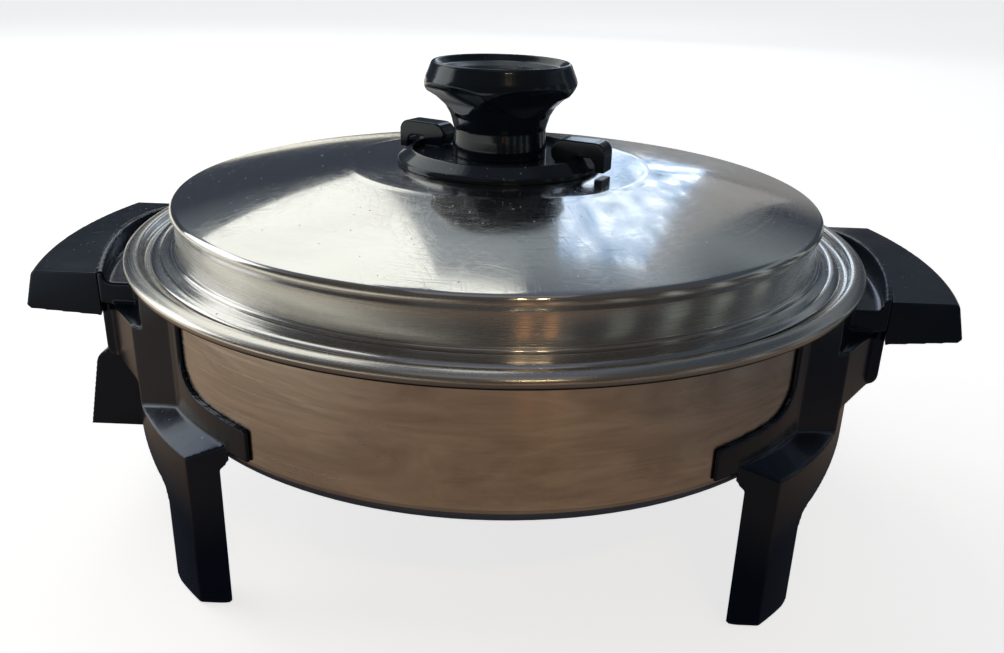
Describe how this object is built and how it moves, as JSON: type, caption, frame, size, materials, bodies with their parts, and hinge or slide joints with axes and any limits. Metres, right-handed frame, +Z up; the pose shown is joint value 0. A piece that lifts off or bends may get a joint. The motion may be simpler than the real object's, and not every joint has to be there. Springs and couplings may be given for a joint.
{
  "type": "electric skillet",
  "caption": "Round electric skillet on moulded legs, with side grips, a removable domed lid with a flared knob and turning vent ring, and a socket for a plug-in heat control.",
  "frame": {"origin": "on the table under the middle of the pan, level with the undersides of the feet", "axes": "+X through the middle of both side grips, with the socket on the -X side; +Z up along the axis of pan and lid"},
  "size_m": [0.399, 0.318, 0.1961],
  "materials": {
    "stainless": "brushed stainless steel",
    "stainless_wall": "brushed stainless steel",
    "lid_steel": "polished stainless steel with fine wear",
    "gasket": "heat-proof gasket",
    "aluminium": "cast aluminium",
    "element_sheath": "heat-darkened sheath",
    "insulation": "woven insulation",
    "plated_steel": "plated sheet steel",
    "zinc_steel": "zinc-plated steel",
    "ceramic": "heat-proof terminal moulding",
    "plated_pins": "nickel plated",
    "black_moulding": "black heat-proof moulding",
    "black_grip": "black heat-proof moulding, worn gloss",
    "black_gloss": "polished black heat-proof moulding",
    "silicone": "silicone rubber",
    "brass": "turned brass"
  },
  "bodies": {
    "base": {"pan": "stainless", "rim_gasket": "gasket", "jacket": "stainless_wall", "heat_plate": "aluminium", "heating_element": "element_sheath", "insulation_pad": "insulation", "bottom_cover": "plated_steel", "cover_stud": "zinc_steel", "cover_washer": "zinc_steel", "cover_nut": "zinc_steel", "terminal_block": "ceramic", "terminal_pins": "plated_pins", "probe_sleeve": "stainless", "left_bracket": "black_moulding", "right_bracket": "black_moulding", "left_grip": "black_grip", "right_grip": "black_grip", "bracket_screws": "zinc_steel", "grip_screws": "zinc_steel", "socket_hood": "black_moulding", "hood_screws": "zinc_steel"},
    "lid": {"lid_shell": "lid_steel", "seal_washer": "silicone", "hook_plate": "black_gloss", "knob": "black_gloss", "knob_insert": "brass", "knob_screw": "zinc_steel", "screw_washer": "zinc_steel"},
    "vent": {"vent_ring": "black_gloss"}
  },
  "joints": [
    {"name": "lid_lift", "type": "slide", "parent": "base", "child": "lid", "axis": [0, 0, 1], "range_m": [0, 0.12]},
    {"name": "vent_turn", "type": "hinge", "parent": "lid", "child": "vent", "pos_m": [0, 0, 0.153], "axis": [0, 0, 1], "range_deg": [0, 35]}
  ]
}
